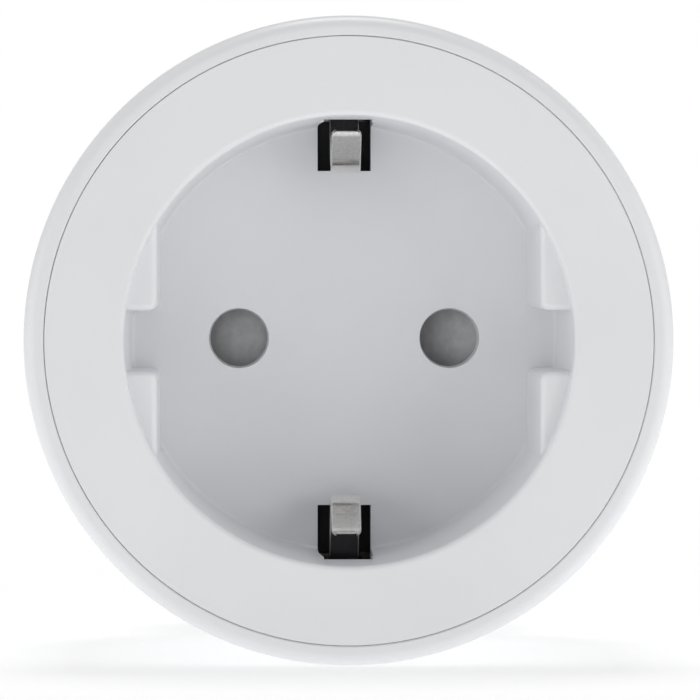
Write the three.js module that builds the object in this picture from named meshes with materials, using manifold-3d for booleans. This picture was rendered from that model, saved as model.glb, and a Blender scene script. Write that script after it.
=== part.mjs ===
// A plug-in power meter: a round mains adapter with a side-earthed socket in front, a plug behind,
// and a switching and metering board between them.
// Millimetres, +Z up. The origin is the centre of the plug's end face and +Y points into the wall,
// so the socket faces -Y. A "depth" is measured back from the front face.
import * as THREE from "three";
import { mergeVertices } from "three/addons/utils/BufferGeometryUtils.js";
import Module from "manifold-3d";

const wasm = await Module();
wasm.setup();

// ---------- driving dimensions ----------
const BODY_RADIUS = 28.45;
const BODY_DEPTH = 46;
const BOSS_DEPTH = 17.5;
const BOSS_RADIUS = 19;
const BOSS_FLAT = 16.6;
const RIB_HALF_WIDTH = 2.5;
const WALL = 1.8;
const GAP = 0.3;

const COVER_RADIUS = 26.53;
const COVER_GAP = 0.12;
const WELL_DEPTH = 17.5;
const WELL_MOUTH_RADIUS = 19.7;
const WELL_FLOOR_RADIUS = 19.2;
const FLOOR_THICKNESS = 2.2;
const SOCKET_HOLE_RADIUS = 2.7;
const WINDOW_HALF_WIDTH = 2.4;
const WINDOW_INNER = 15.07;
const WINDOW_DEPTH = 8.7;
const KEY_FLAT = 16.75;
const KEY_TOP_DEPTH = 1.6;
const KEY_NOTCH_HALF_WIDTH = 2.65;

const PIN_OFFSET = 9.5;
const PIN_RADIUS = 2.4;
const PIN_REACH = 19;
const EARTH_SOCKET_OFFSET = 10;
const EARTH_SOCKET_RADIUS = 3.1;
const CLIP_HALF_WIDTH = 1.33;
const CLIP_THICKNESS = 0.5;
const CLIP_HINGE_Z = 20.65;
const LOWER_CLIP_SET = THREE.MathUtils.degToRad(4.3);
const STRAP_THICKNESS = 0.6;

const SCREW_PLACE = 12.02;
const BOARD_SCREW_PLACE = 13.36;
const BOARD_RADIUS = 24.4;
const BUTTON_WIDTH = 8;
const BUTTON_HEIGHT = 14;

// ---------- planes across the body, front to back ----------
const FRONT_Y = -(BODY_DEPTH + BOSS_DEPTH);
const FLOOR_Y = FRONT_Y + WELL_DEPTH;
const FLOOR_BACK_Y = FLOOR_Y + FLOOR_THICKNESS;
const SHUTTER_FRONT_Y = FLOOR_BACK_Y + GAP;
const CARRIER_FRONT_Y = FLOOR_BACK_Y + 3.2;
const SHUTTER_BACK_Y = CARRIER_FRONT_Y - 0.5;
const LIGHT_PIPE_Y = -41;
const CLIP_HINGE_Y = -38;
const EAR_FRONT_Y = -37;
const EAR_BACK_Y = -34.8;
const BUTTON_Y = -34;
const SHOULDER_START_Y = -29.5;
const CARRIER_BACK_Y = -26.2;
const STRAP_Y = -25.6;
const BOARD_FRONT_Y = -24.5;
const BOARD_BACK_Y = -22.9;
const SHOULDER_Y = -BOSS_DEPTH;
const LIP_Y = SHOULDER_Y - WALL;
const END_WALL_Y = -3;

const INNER_RADIUS = COVER_RADIUS + COVER_GAP;
const WELL_OUTER_RADIUS = WELL_MOUTH_RADIUS + WALL;
const SKIRT_INNER_RADIUS = COVER_RADIUS - 1.6;
const SKIRT_BACK_Y = FRONT_Y + 9.6;
const HOOK_Y = [FRONT_Y + 7.2, FRONT_Y + 9];

const TURN_SIDES = 48;
const ROUND_SIDES = 20;
const SMALL_SIDES = 12;

// ---------- materials ----------
const finish = (color, roughness, metalness = 0) =>
  new THREE.MeshStandardMaterial({ color, roughness, metalness });
const whitePlastic = () => finish(0xe6e7ea, 0.42);
const greyPlastic = () => finish(0x9a9a9c, 0.5);
const blackPlastic = () => finish(0x1c1c1f, 0.55);
const clearPlastic = () => finish(0xeef2f4, 0.2);
const nickel = () => finish(0xb9b5b0, 0.28, 1);
const bronze = () => finish(0xb98a4e, 0.35, 1);
const steel = () => finish(0xa9abae, 0.35, 1);
const greenBoard = () => finish(0x1e5a38, 0.5);

// ---------- solids ----------
// A closed three.js geometry as a manifold-3d solid.
function toSolid(geometry) {
  geometry.deleteAttribute("normal");
  geometry.deleteAttribute("uv");
  const merged = mergeVertices(geometry, 1e-4);
  return new wasm.Manifold(
    new wasm.Mesh({
      numProp: 3,
      vertProperties: merged.attributes.position.array,
      triVerts: new Uint32Array(merged.index.array),
    }),
  );
}

// A manifold-3d solid as a three.js geometry.
function toGeometry(solid) {
  const { vertProperties, triVerts } = solid.getMesh();
  const geometry = new THREE.BufferGeometry();
  geometry.setAttribute("position", new THREE.BufferAttribute(new Float32Array(vertProperties), 3));
  geometry.setIndex(new THREE.BufferAttribute(new Uint32Array(triVerts), 1));
  geometry.computeVertexNormals();
  return geometry;
}

// One named node of the assembly.
function piece(name, solid, material) {
  const mesh = new THREE.Mesh(toGeometry(solid), material);
  mesh.name = name;
  return mesh;
}

const join = (first, ...others) => others.reduce((made, other) => made.add(other), first);
const cut = (first, ...others) => others.reduce((made, other) => made.subtract(other), first);

// The span between two distances from the middle, on one side of it.
const spanOn = (side, low, high) => (side > 0 ? [low, high] : [-high, -low]);
const across = (half, centre = 0) => [centre - half, centre + half];

// A block given by its spans along X, Y and Z.
function block([x0, x1], [y0, y1], [z0, z1]) {
  const geometry = new THREE.BoxGeometry(x1 - x0, y1 - y0, z1 - z0);
  return toSolid(geometry.translate((x0 + x1) / 2, (y0 + y1) / 2, (z0 + z1) / 2));
}

// A round rod along Y. With a back radius it is a cone.
function rodY(radius, [y0, y1], { x = 0, z = 0, sides = ROUND_SIDES, backRadius = radius } = {}) {
  const geometry = new THREE.CylinderGeometry(backRadius, radius, y1 - y0, sides);
  return toSolid(geometry.translate(x, (y0 + y1) / 2, z));
}

// A round rod along X.
function rodX(radius, [x0, x1], y, z = 0) {
  const geometry = new THREE.CylinderGeometry(radius, radius, x1 - x0, SMALL_SIDES);
  return toSolid(geometry.rotateZ(-Math.PI / 2).translate((x0 + x1) / 2, y, z));
}

// A closed outline of [radius, y] points turned about the Y axis.
function turned(outline, sides = TURN_SIDES) {
  const points = outline.map(([radius, y]) => new THREE.Vector2(radius, y));
  if (THREE.ShapeUtils.area(points) < 0) points.reverse();
  return toSolid(new THREE.LatheGeometry([...points, points[0]], sides));
}

// Points on a quarter ellipse, which sets out either along Y or along the radius.
function quarter([r0, y0], [r1, y1], setsOutAlongY, steps) {
  return Array.from({ length: steps + 1 }, (_, i) => {
    const turn = (i / steps) * (Math.PI / 2);
    const slow = 1 - Math.cos(turn);
    const fast = Math.sin(turn);
    const [radial, axial] = setsOutAlongY ? [slow, fast] : [fast, slow];
    return [r0 + (r1 - r0) * radial, y0 + (y1 - y0) * axial];
  });
}

// A shape drawn in X and Z, made a slab between two Y planes.
function slabY(shape, [y0, y1], curveSegments = 4) {
  const options = { depth: y1 - y0, bevelEnabled: false, curveSegments };
  return toSolid(new THREE.ExtrudeGeometry(shape, options).rotateX(Math.PI / 2).translate(0, y1, 0));
}

// A shape drawn in Y and Z, made a slab between two X planes.
function slabX(shape, [x0, x1], curveSegments = 4) {
  const options = { depth: x1 - x0, bevelEnabled: false, curveSegments };
  const geometry = new THREE.ExtrudeGeometry(shape, options);
  return toSolid(geometry.rotateY(Math.PI / 2).rotateX(Math.PI / 2).translate(x0, 0, 0));
}

// A rectangle with round corners, centred on the point given.
function roundedRectangle(width, height, radius, centreX = 0, centreY = 0) {
  const [w, h] = [width / 2 - radius, height / 2 - radius];
  const corners = [[1, 1], [-1, 1], [-1, -1], [1, -1]];
  const shape = new THREE.Shape();
  corners.forEach(([sx, sy], i) => {
    const start = (i * Math.PI) / 2;
    shape.absarc(centreX + sx * w, centreY + sy * h, radius, start, start + Math.PI / 2);
  });
  return shape;
}

// A metal strip bent along a line of [y, z] points, as wide as the X span.
function bentStrip(line, thickness, xSpan) {
  const points = line.map(([y, z]) => new THREE.Vector2(y, z));
  const last = points.length - 1;
  const direction = (i) => points[i + 1].clone().sub(points[i]).normalize();
  const side = (sign) =>
    points.map((point, i) => {
      const before = direction(Math.max(i - 1, 0));
      const after = direction(Math.min(i, last - 1));
      const along = before.clone().add(after).normalize();
      const reach = (sign * thickness) / 2 / along.dot(before);
      return new THREE.Vector2(point.x - along.y * reach, point.y + along.x * reach);
    });
  return slabX(new THREE.Shape([...side(1), ...side(-1).reverse()]), xSpan);
}

// A round wire through [x, y, z] points.
function wire(points, radius, steps, sides = 8) {
  const extrudePath = new THREE.CatmullRomCurve3(points.map((p) => new THREE.Vector3(...p)));
  const section = new THREE.Shape().absarc(0, 0, radius, 0, 2 * Math.PI);
  const options = { steps, extrudePath, curveSegments: sides / 2, bevelEnabled: false };
  return toSolid(new THREE.ExtrudeGeometry(section, options));
}

const bothSides = [-1, 1];
const fourCorners = bothSides.flatMap((x) => bothSides.map((z) => [x, z]));

// The same rod along Y at all four corners of a square.
function rodsAtCorners(place, radius, span, sides = SMALL_SIDES) {
  return fourCorners.map(([x, z]) => rodY(radius, span, { x: x * place, z: z * place, sides }));
}

// ---------- housing ----------
// A disc with its left and right sides cut flat, drawn in X and Z.
function flattedCircle(radius, flat) {
  const corner = Math.acos(flat / radius);
  const shape = new THREE.Shape();
  shape.absarc(0, 0, radius, corner, Math.PI - corner);
  shape.absarc(0, 0, radius, Math.PI + corner, 2 * Math.PI - corner);
  return shape;
}

// The outside of the plug boss: round, with two flats that each carry a guide rib.
function bossSolid(clearance, ySpan) {
  const disc = slabY(flattedCircle(BOSS_RADIUS + clearance, BOSS_FLAT + clearance), ySpan, 10);
  const ribs = block(across(BOSS_RADIUS - 0.2 + clearance), ySpan, across(RIB_HALF_WIDTH + clearance));
  return join(disc, ribs);
}

// The button's oval, drawn in Y and Z.
function buttonOval(grow) {
  const width = BUTTON_WIDTH + 2 * grow;
  return roundedRectangle(width, BUTTON_HEIGHT + 2 * grow, width / 2 - 0.01, BUTTON_Y);
}

// A block set on a radius, for a snap hook or its pocket.
function snapBlock([x, z], [r0, r1], width, grow = 0) {
  const geometry = new THREE.BoxGeometry(r1 - r0, HOOK_Y[1] - HOOK_Y[0] + 2 * grow, width);
  geometry.translate((r0 + r1) / 2, (HOOK_Y[0] + HOOK_Y[1]) / 2, 0);
  return toSolid(geometry.rotateY(-Math.atan2(z, x)));
}

function housingShell() {
  const shoulderRadius = 20.2;
  const lipRadius = BOSS_FLAT - 1.2;
  const shell = turned([
    [INNER_RADIUS, FRONT_Y + 0.2],
    [INNER_RADIUS + 0.2, FRONT_Y],
    ...quarter([BODY_RADIUS - 1.15, FRONT_Y], [BODY_RADIUS, FRONT_Y + 1.5], false, 4),
    ...quarter([BODY_RADIUS, SHOULDER_START_Y], [shoulderRadius, SHOULDER_Y], true, 6),
    [lipRadius, SHOULDER_Y],
    [lipRadius, LIP_Y],
    ...quarter([shoulderRadius, LIP_Y], [INNER_RADIUS, SHOULDER_START_Y], false, 5),
  ]);
  const pockets = fourCorners.map((corner) =>
    snapBlock(corner, [INNER_RADIUS - 0.6, INNER_RADIUS + 0.95], 6.6, GAP),
  );
  return cut(
    shell,
    bossSolid(0.25, [LIP_Y - 1, SHOULDER_Y + 1]),
    slabX(buttonOval(0.25), [INNER_RADIUS - 4, BODY_RADIUS + 1]),
    rodX(1.45, [INNER_RADIUS - 2, BODY_RADIUS + 1], LIGHT_PIPE_Y),
    ...pockets,
  );
}

// ---------- front cover with its socket well ----------
// The two guide blocks on one side of the well, with the notch between them.
function wellKeys(side) {
  const reach = WELL_MOUTH_RADIUS + 0.8;
  const corner = Math.acos(KEY_FLAT / reach);
  const segment = new THREE.Shape().absarc(0, 0, reach, -corner, corner);
  const keys = slabY(segment, [FRONT_Y + KEY_TOP_DEPTH, FLOOR_Y + 1], 10);
  const notch = block([KEY_FLAT - 1, reach + 1], [FRONT_Y, FLOOR_Y + 2], across(KEY_NOTCH_HALF_WIDTH));
  const pair = cut(keys, notch);
  return side > 0 ? pair : pair.mirror([1, 0, 0]);
}

function frontCover() {
  const plate = turned([
    [0, FLOOR_Y],
    [WELL_FLOOR_RADIUS, FLOOR_Y],
    [WELL_MOUTH_RADIUS, FRONT_Y + 0.5],
    [WELL_MOUTH_RADIUS + 0.15, FRONT_Y + 0.15],
    [WELL_MOUTH_RADIUS + 0.5, FRONT_Y],
    [COVER_RADIUS - 0.12, FRONT_Y],
    [COVER_RADIUS, FRONT_Y + 0.12],
    [COVER_RADIUS, SKIRT_BACK_Y],
    [SKIRT_INNER_RADIUS, SKIRT_BACK_Y],
    [SKIRT_INNER_RADIUS, FRONT_Y + 2],
    [WELL_OUTER_RADIUS, FRONT_Y + 2],
    [WELL_OUTER_RADIUS, FLOOR_BACK_Y],
    [0, FLOOR_BACK_Y],
  ]);
  const hooks = fourCorners.map((corner) =>
    snapBlock(corner, [COVER_RADIUS - 0.8, COVER_RADIUS + 0.7], 6),
  );
  const pinHoles = bothSides.map((side) =>
    rodY(SOCKET_HOLE_RADIUS, [FLOOR_Y - 1, FLOOR_BACK_Y + 1], {
      x: side * PIN_OFFSET,
      backRadius: SOCKET_HOLE_RADIUS - 0.2,
    }),
  );
  const windows = bothSides.map((side) =>
    block(
      across(WINDOW_HALF_WIDTH),
      [FRONT_Y + WINDOW_DEPTH, FLOOR_BACK_Y + 1],
      spanOn(side, WINDOW_INNER, WELL_OUTER_RADIUS + 1),
    ),
  );
  const posts = rodsAtCorners(SCREW_PLACE, 2.5, [FLOOR_BACK_Y - 0.5, EAR_FRONT_Y - 0.05]);
  const pilots = rodsAtCorners(SCREW_PLACE, 1.35, [FLOOR_BACK_Y + 0.6, EAR_FRONT_Y + 1]);
  const solid = join(plate, wellKeys(1), wellKeys(-1), ...hooks, ...posts);
  return cut(solid, ...pinHoles, ...windows, ...pilots);
}

// ---------- shutter behind the pin holes ----------
const SHUTTER_HALF_HEIGHT = 4.3;
const SLOPE_HALF_WIDTH = 3.1;
const SLOPE_DEPTH = 1.9;
const SPRING_Z = 7;
const SPRING_SPAN = [-3.95, 8.25];

// A wedge cut that leaves a slope, deep on the left and rising to the right.
function slopeCut(centre) {
  const [left, right] = across(SLOPE_HALF_WIDTH, centre);
  const section = new THREE.Shape([
    new THREE.Vector2(left, SHUTTER_FRONT_Y - 0.5),
    new THREE.Vector2(right, SHUTTER_FRONT_Y - 0.5),
    new THREE.Vector2(right - 0.5, SHUTTER_FRONT_Y),
    new THREE.Vector2(left, SHUTTER_FRONT_Y + SLOPE_DEPTH),
  ]);
  const depth = 2 * SHUTTER_HALF_HEIGHT + 1;
  const geometry = new THREE.ExtrudeGeometry(section, { depth, bevelEnabled: false });
  return toSolid(geometry.translate(0, 0, -depth / 2));
}

// A sliding plate: a slope behind each pin hole and one opening for the right-hand pin.
function shutterSlider() {
  const end = PIN_OFFSET + SLOPE_HALF_WIDTH;
  const opening = PIN_OFFSET - SLOPE_HALF_WIDTH;
  const outline = roundedRectangle(2 * end, 2 * SHUTTER_HALF_HEIGHT, 1.2);
  const plate = cut(
    slabY(outline, [SHUTTER_FRONT_Y, SHUTTER_BACK_Y], 3),
    block([opening - 6, opening], [FLOOR_Y, CARRIER_FRONT_Y], across(3.2)),
    slopeCut(-PIN_OFFSET),
    slopeCut(PIN_OFFSET),
  );
  const lugSpan = [SHUTTER_HALF_HEIGHT - 0.5, SPRING_Z + 1.2];
  return join(plate, block([-5, -4], [SHUTTER_FRONT_Y + 0.2, SHUTTER_BACK_Y], lugSpan));
}

function shutterSpring() {
  const [start, end] = SPRING_SPAN;
  const coilRadius = 0.85;
  const steps = 42;
  const turns = 6;
  const points = Array.from({ length: steps + 1 }, (_, i) => {
    const turn = (i / steps) * turns * 2 * Math.PI;
    const y = (SHUTTER_FRONT_Y + SHUTTER_BACK_Y) / 2 + coilRadius * Math.cos(turn);
    return [start + 0.2 + ((end - start - 0.4) * i) / steps, y, SPRING_Z + coilRadius * Math.sin(turn)];
  });
  return wire(points, 0.16, steps, 6);
}

// ---------- contact carrier ----------
// The chamber round one earth clip, reaching forward outside the well wall.
function clipChamber(side) {
  const frontY = -57;
  const wall = across(3.7);
  const hollow = across(2.7);
  const outerZ = 23.7;
  const innerZ = outerZ - 1;
  const shell = join(
    block(wall, [frontY, EAR_BACK_Y], spanOn(side, WELL_OUTER_RADIUS + GAP, outerZ)),
    block(wall, [SHUTTER_FRONT_Y, EAR_BACK_Y], spanOn(side, 7, outerZ)),
  );
  return cut(
    shell,
    block(hollow, [frontY + 1, EAR_FRONT_Y], spanOn(side, WINDOW_INNER - 0.2, innerZ)),
    block(hollow, [EAR_FRONT_Y - 1, EAR_BACK_Y + 1], spanOn(side, CLIP_HINGE_Z - 0.9, innerZ)),
  );
}

// The rails the shutter runs in, its end stop and the spring's seat.
function shutterRails() {
  const span = [SHUTTER_FRONT_Y, CARRIER_FRONT_Y + 1];
  const lower = [-5.6, -SHUTTER_HALF_HEIGHT - GAP];
  const upper = [SHUTTER_HALF_HEIGHT + GAP, 5.6];
  return [
    block([-13, 19], span, lower),
    block([-13, -5.5], span, upper),
    block([2.8, 19], span, upper),
    block([8.3, 9.3], span, [5, SPRING_Z + 1.2]),
    block([15, 19], [CARRIER_FRONT_Y, CARRIER_FRONT_Y + 1.4], [-5.6, 5.6]),
  ];
}

function contactCarrier() {
  const core = slabY(roundedRectangle(31.6, 16, 2), [CARRIER_FRONT_Y, CARRIER_BACK_Y], 3);
  const ears = slabY(roundedRectangle(30, 29, 4), [EAR_FRONT_Y, EAR_BACK_Y], 4);
  const pinHoles = bothSides.map((side) =>
    rodY(2.9, [CARRIER_FRONT_Y - 1, CARRIER_FRONT_Y + 3], { x: side * PIN_OFFSET }),
  );
  const contactPockets = bothSides.map((side) =>
    block(across(4.2, side * PIN_OFFSET), [CARRIER_FRONT_Y + 1.6, CARRIER_BACK_Y + 1], across(4.2)),
  );
  const springTrough = block([-4, 8.3], [FLOOR_BACK_Y, CARRIER_FRONT_Y], [5.7, SPRING_Z + 1.6]);
  return cut(
    join(core, ears, clipChamber(1), clipChamber(-1), ...shutterRails()),
    ...pinHoles,
    ...contactPockets,
    ...rodsAtCorners(SCREW_PLACE, 1.5, [EAR_FRONT_Y - 1, EAR_BACK_Y + 1]),
    springTrough,
  );
}

// A split sleeve that grips a pin, with a leg that is soldered through the board.
function pinContact(x) {
  const [front, back] = [CARRIER_FRONT_Y + 2, CARRIER_BACK_Y + 0.2];
  const bore = PIN_RADIUS + 0.2;
  const sleeve = turned(
    [
      [bore + 0.7, front],
      [bore, front + 1.2],
      [bore, back],
      [bore + 0.55, back],
      [bore + 0.55, front + 1],
      [bore + 1.1, front],
    ],
    16,
  );
  const slitSpan = [front - 1, back - 3];
  const slits = [
    block(across(0.35), slitSpan, across(5)),
    block(across(5), slitSpan, across(0.35)),
  ];
  const leg = block([bore + 0.1, bore + 0.9], [back - 2, BOARD_BACK_Y + 0.7], across(0.9));
  return join(cut(sleeve, ...slits), leg).translate([x, 0, 0]);
}

// A cross-head screw seen along Y, from its tip to the top of its head.
function screw({ tip, seat, top, shank, head }, x, z) {
  const out = Math.sign(top - seat);
  const body = turned(
    [
      [0, tip],
      [shank / 2, tip],
      [shank, tip + out * 1.1],
      [shank, seat],
      [head, seat],
      [head, top - out * 0.4],
      [head - 0.45, top],
      [0, top],
    ],
    SMALL_SIDES,
  );
  const recess = [top - 0.7, top + 0.7];
  const cross = [
    block(across(0.22), recess, across(head * 0.55)),
    block(across(head * 0.55), recess, across(0.22)),
  ];
  return cut(body, ...cross).translate([x, 0, z]);
}

// ---------- earth path ----------
// The stamped strap behind the carrier, with an arm forward to each earth clip.
function earthBracket() {
  const half = STRAP_THICKNESS / 2;
  const bar = block(across(3), across(half, STRAP_Y), across(CLIP_HINGE_Z + half));
  const arms = bothSides.map((side) =>
    block(
      across(2),
      [CLIP_HINGE_Y + 0.15, STRAP_Y],
      spanOn(side, CLIP_HINGE_Z - half, CLIP_HINGE_Z + half),
    ),
  );
  return join(bar, ...arms);
}

// One spring clip, from its root forward to the contact bend and out again as a lead-in.
// It is drawn about its root for the top of the well, then set inward by an angle.
function earthClip(side, setAngle) {
  const strip = bentStrip(
    [
      [-0.15, 0],
      [-6.2, 0],
      [-7.45, -0.75],
      [-10.1, -4.4],
      [-11, -5.15],
      [-12.1, -5.5],
      [-13.25, -5.25],
      [-14.15, -4.55],
      [-16.3, -2.05],
    ],
    CLIP_THICKNESS,
    across(CLIP_HALF_WIDTH),
  );
  const degrees = THREE.MathUtils.radToDeg(setAngle);
  const placed = strip.rotate([degrees, 0, 0]).translate([0, CLIP_HINGE_Y, CLIP_HINGE_Z]);
  return side > 0 ? placed : placed.mirror([0, 0, 1]);
}

// A side contact of the plug: outside on the boss, then in through its slot to the board.
function earthStrip(side) {
  const strip = bentStrip(
    [
      [-1.6, 18.35],
      [-13.9, 18.35],
      [-15.9, 16.4],
      [BOARD_BACK_Y + 0.05, 16.4],
    ],
    STRAP_THICKNESS,
    across(2.2),
  );
  return side > 0 ? strip : strip.mirror([0, 0, 1]);
}

// The sleeve behind the plug's earth hole, closed at the back.
function earthSocket() {
  const [front, back] = [END_WALL_Y - 0.1, END_WALL_Y - 12];
  const bore = EARTH_SOCKET_RADIUS + 0.05;
  const sleeve = turned(
    [
      [bore, front],
      [bore + 0.6, front],
      [bore + 0.6, back - 0.6],
      [0, back - 0.6],
      [0, back],
      [bore, back],
    ],
    ROUND_SIDES,
  );
  const slit = block(across(0.4), [back + 3, front + 1], across(5));
  return cut(sleeve, slit).translate([0, 0, EARTH_SOCKET_OFFSET]);
}

// ---------- plug ----------
function plugBase() {
  const flange = [LIP_Y - 2, LIP_Y - 0.05];
  const shell = join(
    bossSolid(0, [flange[0], 0]),
    rodY(20.1, flange, { sides: TURN_SIDES }),
    ...rodsAtCorners(BOARD_SCREW_PLACE, 1.9, [BOARD_BACK_Y + 0.05, flange[0] + 0.8]),
  );
  const hollow = slabY(
    flattedCircle(BOSS_RADIUS - WALL, BOSS_FLAT - WALL),
    [flange[0] - 5, END_WALL_Y],
    10,
  );
  const pinTowers = bothSides.map((side) =>
    rodY(4.4, [END_WALL_Y - 3.3, END_WALL_Y + 0.1], { x: side * PIN_OFFSET }),
  );
  const pinBores = bothSides.flatMap((side) => [
    rodY(3.35, [END_WALL_Y - 5, END_WALL_Y], { x: side * PIN_OFFSET }),
    rodY(PIN_RADIUS + 0.1, [END_WALL_Y - 1, 1], { x: side * PIN_OFFSET }),
  ]);
  const atEarth = { z: EARTH_SOCKET_OFFSET };
  const earthTower = rodY(5, [END_WALL_Y - 9, END_WALL_Y + 0.1], atEarth);
  const earthBores = [
    rodY(4.05, [END_WALL_Y - 10, END_WALL_Y], atEarth),
    rodY(EARTH_SOCKET_RADIUS, [END_WALL_Y - 1, 1], atEarth),
  ];
  const stripCuts = bothSides.flatMap((side) => [
    block(across(2.45), [-16.3, 1], spanOn(side, 17.85, 20)),
    block(across(2.45), [-16.6, -13.4], spanOn(side, 15.5, 19.5)),
  ]);
  const pilots = rodsAtCorners(BOARD_SCREW_PLACE, 1.05, [BOARD_BACK_Y - 1, LIP_Y - 0.7]);
  return cut(
    join(cut(shell, hollow), ...pinTowers, earthTower),
    ...pinBores,
    ...earthBores,
    ...stripCuts,
    ...pilots,
  );
}

function plugPin(x) {
  return turned(
    [
      [0, END_WALL_Y - 3.2],
      [3.2, END_WALL_Y - 3.2],
      [3.2, END_WALL_Y - 0.05],
      [PIN_RADIUS, END_WALL_Y - 0.05],
      ...quarter([PIN_RADIUS, PIN_REACH - 2.2], [0.7, PIN_REACH], true, 4),
      [0, PIN_REACH],
    ],
    ROUND_SIDES,
  ).translate([x, 0, 0]);
}

// ---------- boards and what they carry ----------
const CONTROL_X = [19.5, 20.7];
const WIFI_X = [-20.7, -19.5];
const ON_FRONT = BOARD_FRONT_Y - 0.05;
const ON_BACK = BOARD_BACK_Y + 0.05;

function mainBoard() {
  const disc = rodY(BOARD_RADIUS, [BOARD_FRONT_Y, BOARD_BACK_Y], { sides: TURN_SIDES });
  const through = [BOARD_FRONT_Y - 1, BOARD_BACK_Y + 1];
  const legSlots = bothSides.map((side) =>
    block(across(0.6, side * PIN_OFFSET + PIN_RADIUS + 0.7), through, across(1.1)),
  );
  return cut(
    disc,
    ...legSlots,
    ...rodsAtCorners(BOARD_SCREW_PLACE, 1.2, through),
    rodY(1.4, through, { z: 14, sides: SMALL_SIDES }),
  );
}

function shuntStrap() {
  const [top, foot] = [ON_BACK + 2.6, ON_BACK];
  const bridge = block(across(1, 11.6), [top - 0.6, top], [-9, -3]);
  const legs = [
    block(across(1, 11.6), [foot, top - 0.3], [-9, -8.4]),
    block(across(1, 11.6), [foot, top - 0.3], [-3.6, -3]),
  ];
  return join(bridge, ...legs);
}

// A wire from the back of a plug pin to the board.
function pinWire(side) {
  const along = [
    [10.3, -6.25, 1.1],
    [10.3, -7.5, 1.1],
    [12.1, -13.5, 3.4],
    [12.4, -19, 4.2],
    [12.4, ON_BACK, 4.2],
  ];
  return wire(along.map(([x, y, z]) => [side * x, y, z]), 1.05, 10);
}

function earthWire() {
  const from = END_WALL_Y - 12.65;
  return wire(
    [
      [0, from, EARTH_SOCKET_OFFSET],
      [0, -17, EARTH_SOCKET_OFFSET],
      [0, -20.4, 13.4],
      [0, -23, 14],
      [0, STRAP_Y + 0.35, 14],
    ],
    1.05,
    10,
  );
}

function tactSwitch() {
  const body = block([CONTROL_X[1] + 0.05, 24.15], across(3, BUTTON_Y), across(3));
  return cut(body, rodX(1.85, [22.9, 25], BUTTON_Y));
}

function lightPipe() {
  const pipe = rodX(1.2, [CONTROL_X[1] + 1.8, BODY_RADIUS - 0.1], LIGHT_PIPE_Y);
  return join(pipe, rodX(1.9, [24.4, 25.9], LIGHT_PIPE_Y));
}

// The oval button: a cap that follows the housing's curve, a flange behind it and a stem.
function powerButton() {
  const skin = (r0, r1) =>
    turned([
      [r0, BUTTON_Y - 9],
      [r1, BUTTON_Y - 9],
      [r1, BUTTON_Y + 9],
      [r0, BUTTON_Y + 9],
    ]);
  const reach = [15, BODY_RADIUS + 1];
  return join(
    skin(26.1, BODY_RADIUS - 0.05).intersect(slabX(buttonOval(0), reach)),
    skin(25.3, 26.2).intersect(slabX(buttonOval(1), reach)),
    rodX(1.8, [25.05, 26], BUTTON_Y),
  );
}

// ---------- assembly ----------
const carrierScrew = { tip: -42.4, seat: -34.7, top: -33.2, shank: 1.1, head: 2.2 };
const boardScrew = { tip: -20.4, seat: -24.6, top: -25.7, shank: 0.85, head: 1.9 };

const meter = new THREE.Group();
meter.name = "plug_in_power_meter";
meter.add(
  piece("housing_shell", housingShell(), whitePlastic()),
  piece("front_cover", frontCover(), whitePlastic()),
  piece("plug_base", plugBase(), whitePlastic()),
  piece("line_pin", plugPin(-PIN_OFFSET), nickel()),
  piece("neutral_pin", plugPin(PIN_OFFSET), nickel()),
  piece("earth_strip_upper", earthStrip(1), nickel()),
  piece("earth_strip_lower", earthStrip(-1), nickel()),
  piece("earth_socket", earthSocket(), bronze()),
  piece("shutter_slider", shutterSlider(), greyPlastic()),
  piece("shutter_spring", shutterSpring(), steel()),
  piece("contact_carrier", contactCarrier(), blackPlastic()),
  piece("line_contact", pinContact(-PIN_OFFSET), bronze()),
  piece("neutral_contact", pinContact(PIN_OFFSET), bronze()),
  piece("earth_bracket", earthBracket(), nickel()),
  piece("earth_clip_upper", earthClip(1, 0), nickel()),
  piece("earth_clip_lower", earthClip(-1, LOWER_CLIP_SET), nickel()),
  piece("main_board", mainBoard(), greenBoard()),
  piece("relay", block(across(9.3), [ON_BACK, -8], [-14, -1.4]), blackPlastic()),
  piece("bulk_capacitor", rodY(4, [-32.6, ON_FRONT], { x: 7.6, z: 18 }), blackPlastic()),
  piece("film_capacitor", block([-11, -4.2], [-32, ON_FRONT], [14.8, 20.8]), greyPlastic()),
  piece("inductor", rodY(3.8, [-32, ON_FRONT], { x: -7.8, z: -17.8 }), blackPlastic()),
  piece("varistor", rodX(3.4, [4.5, 7.5], ON_FRONT - 3.4, -18), greyPlastic()),
  piece("fuse_resistor", rodY(1.5, [-31, ON_FRONT], { x: 10.6, z: -18.5 }), greyPlastic()),
  piece("bridge_diode", block([16.2, 19], [-27.4, ON_FRONT], across(3)), blackPlastic()),
  piece("metering_chip", block([-19, -16.1], [-26, ON_FRONT], across(3)), blackPlastic()),
  piece("shunt_strap", shuntStrap(), bronze()),
  piece("line_wire", pinWire(-1), finish(0x5a3320, 0.5)),
  piece("neutral_wire", pinWire(1), finish(0x2450a0, 0.5)),
  piece("earth_wire", earthWire(), finish(0x7d9a2c, 0.5)),
  piece("control_board", block(CONTROL_X, [-43.2, ON_FRONT], across(12)), greenBoard()),
  piece("tact_switch", tactSwitch(), blackPlastic()),
  piece("tact_plunger", rodX(1.65, [23.5, 25], BUTTON_Y), blackPlastic()),
  piece("status_led", block([20.75, 22.2], across(1, LIGHT_PIPE_Y), across(0.8)), clearPlastic()),
  piece("light_pipe", lightPipe(), clearPlastic()),
  piece("power_button", powerButton(), whitePlastic()),
  piece("wifi_board", block(WIFI_X, [-43.2, ON_FRONT], across(8)), greenBoard()),
  piece("shield_can", block([-22.9, -20.75], [-41, -30], across(6)), steel()),
);
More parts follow.
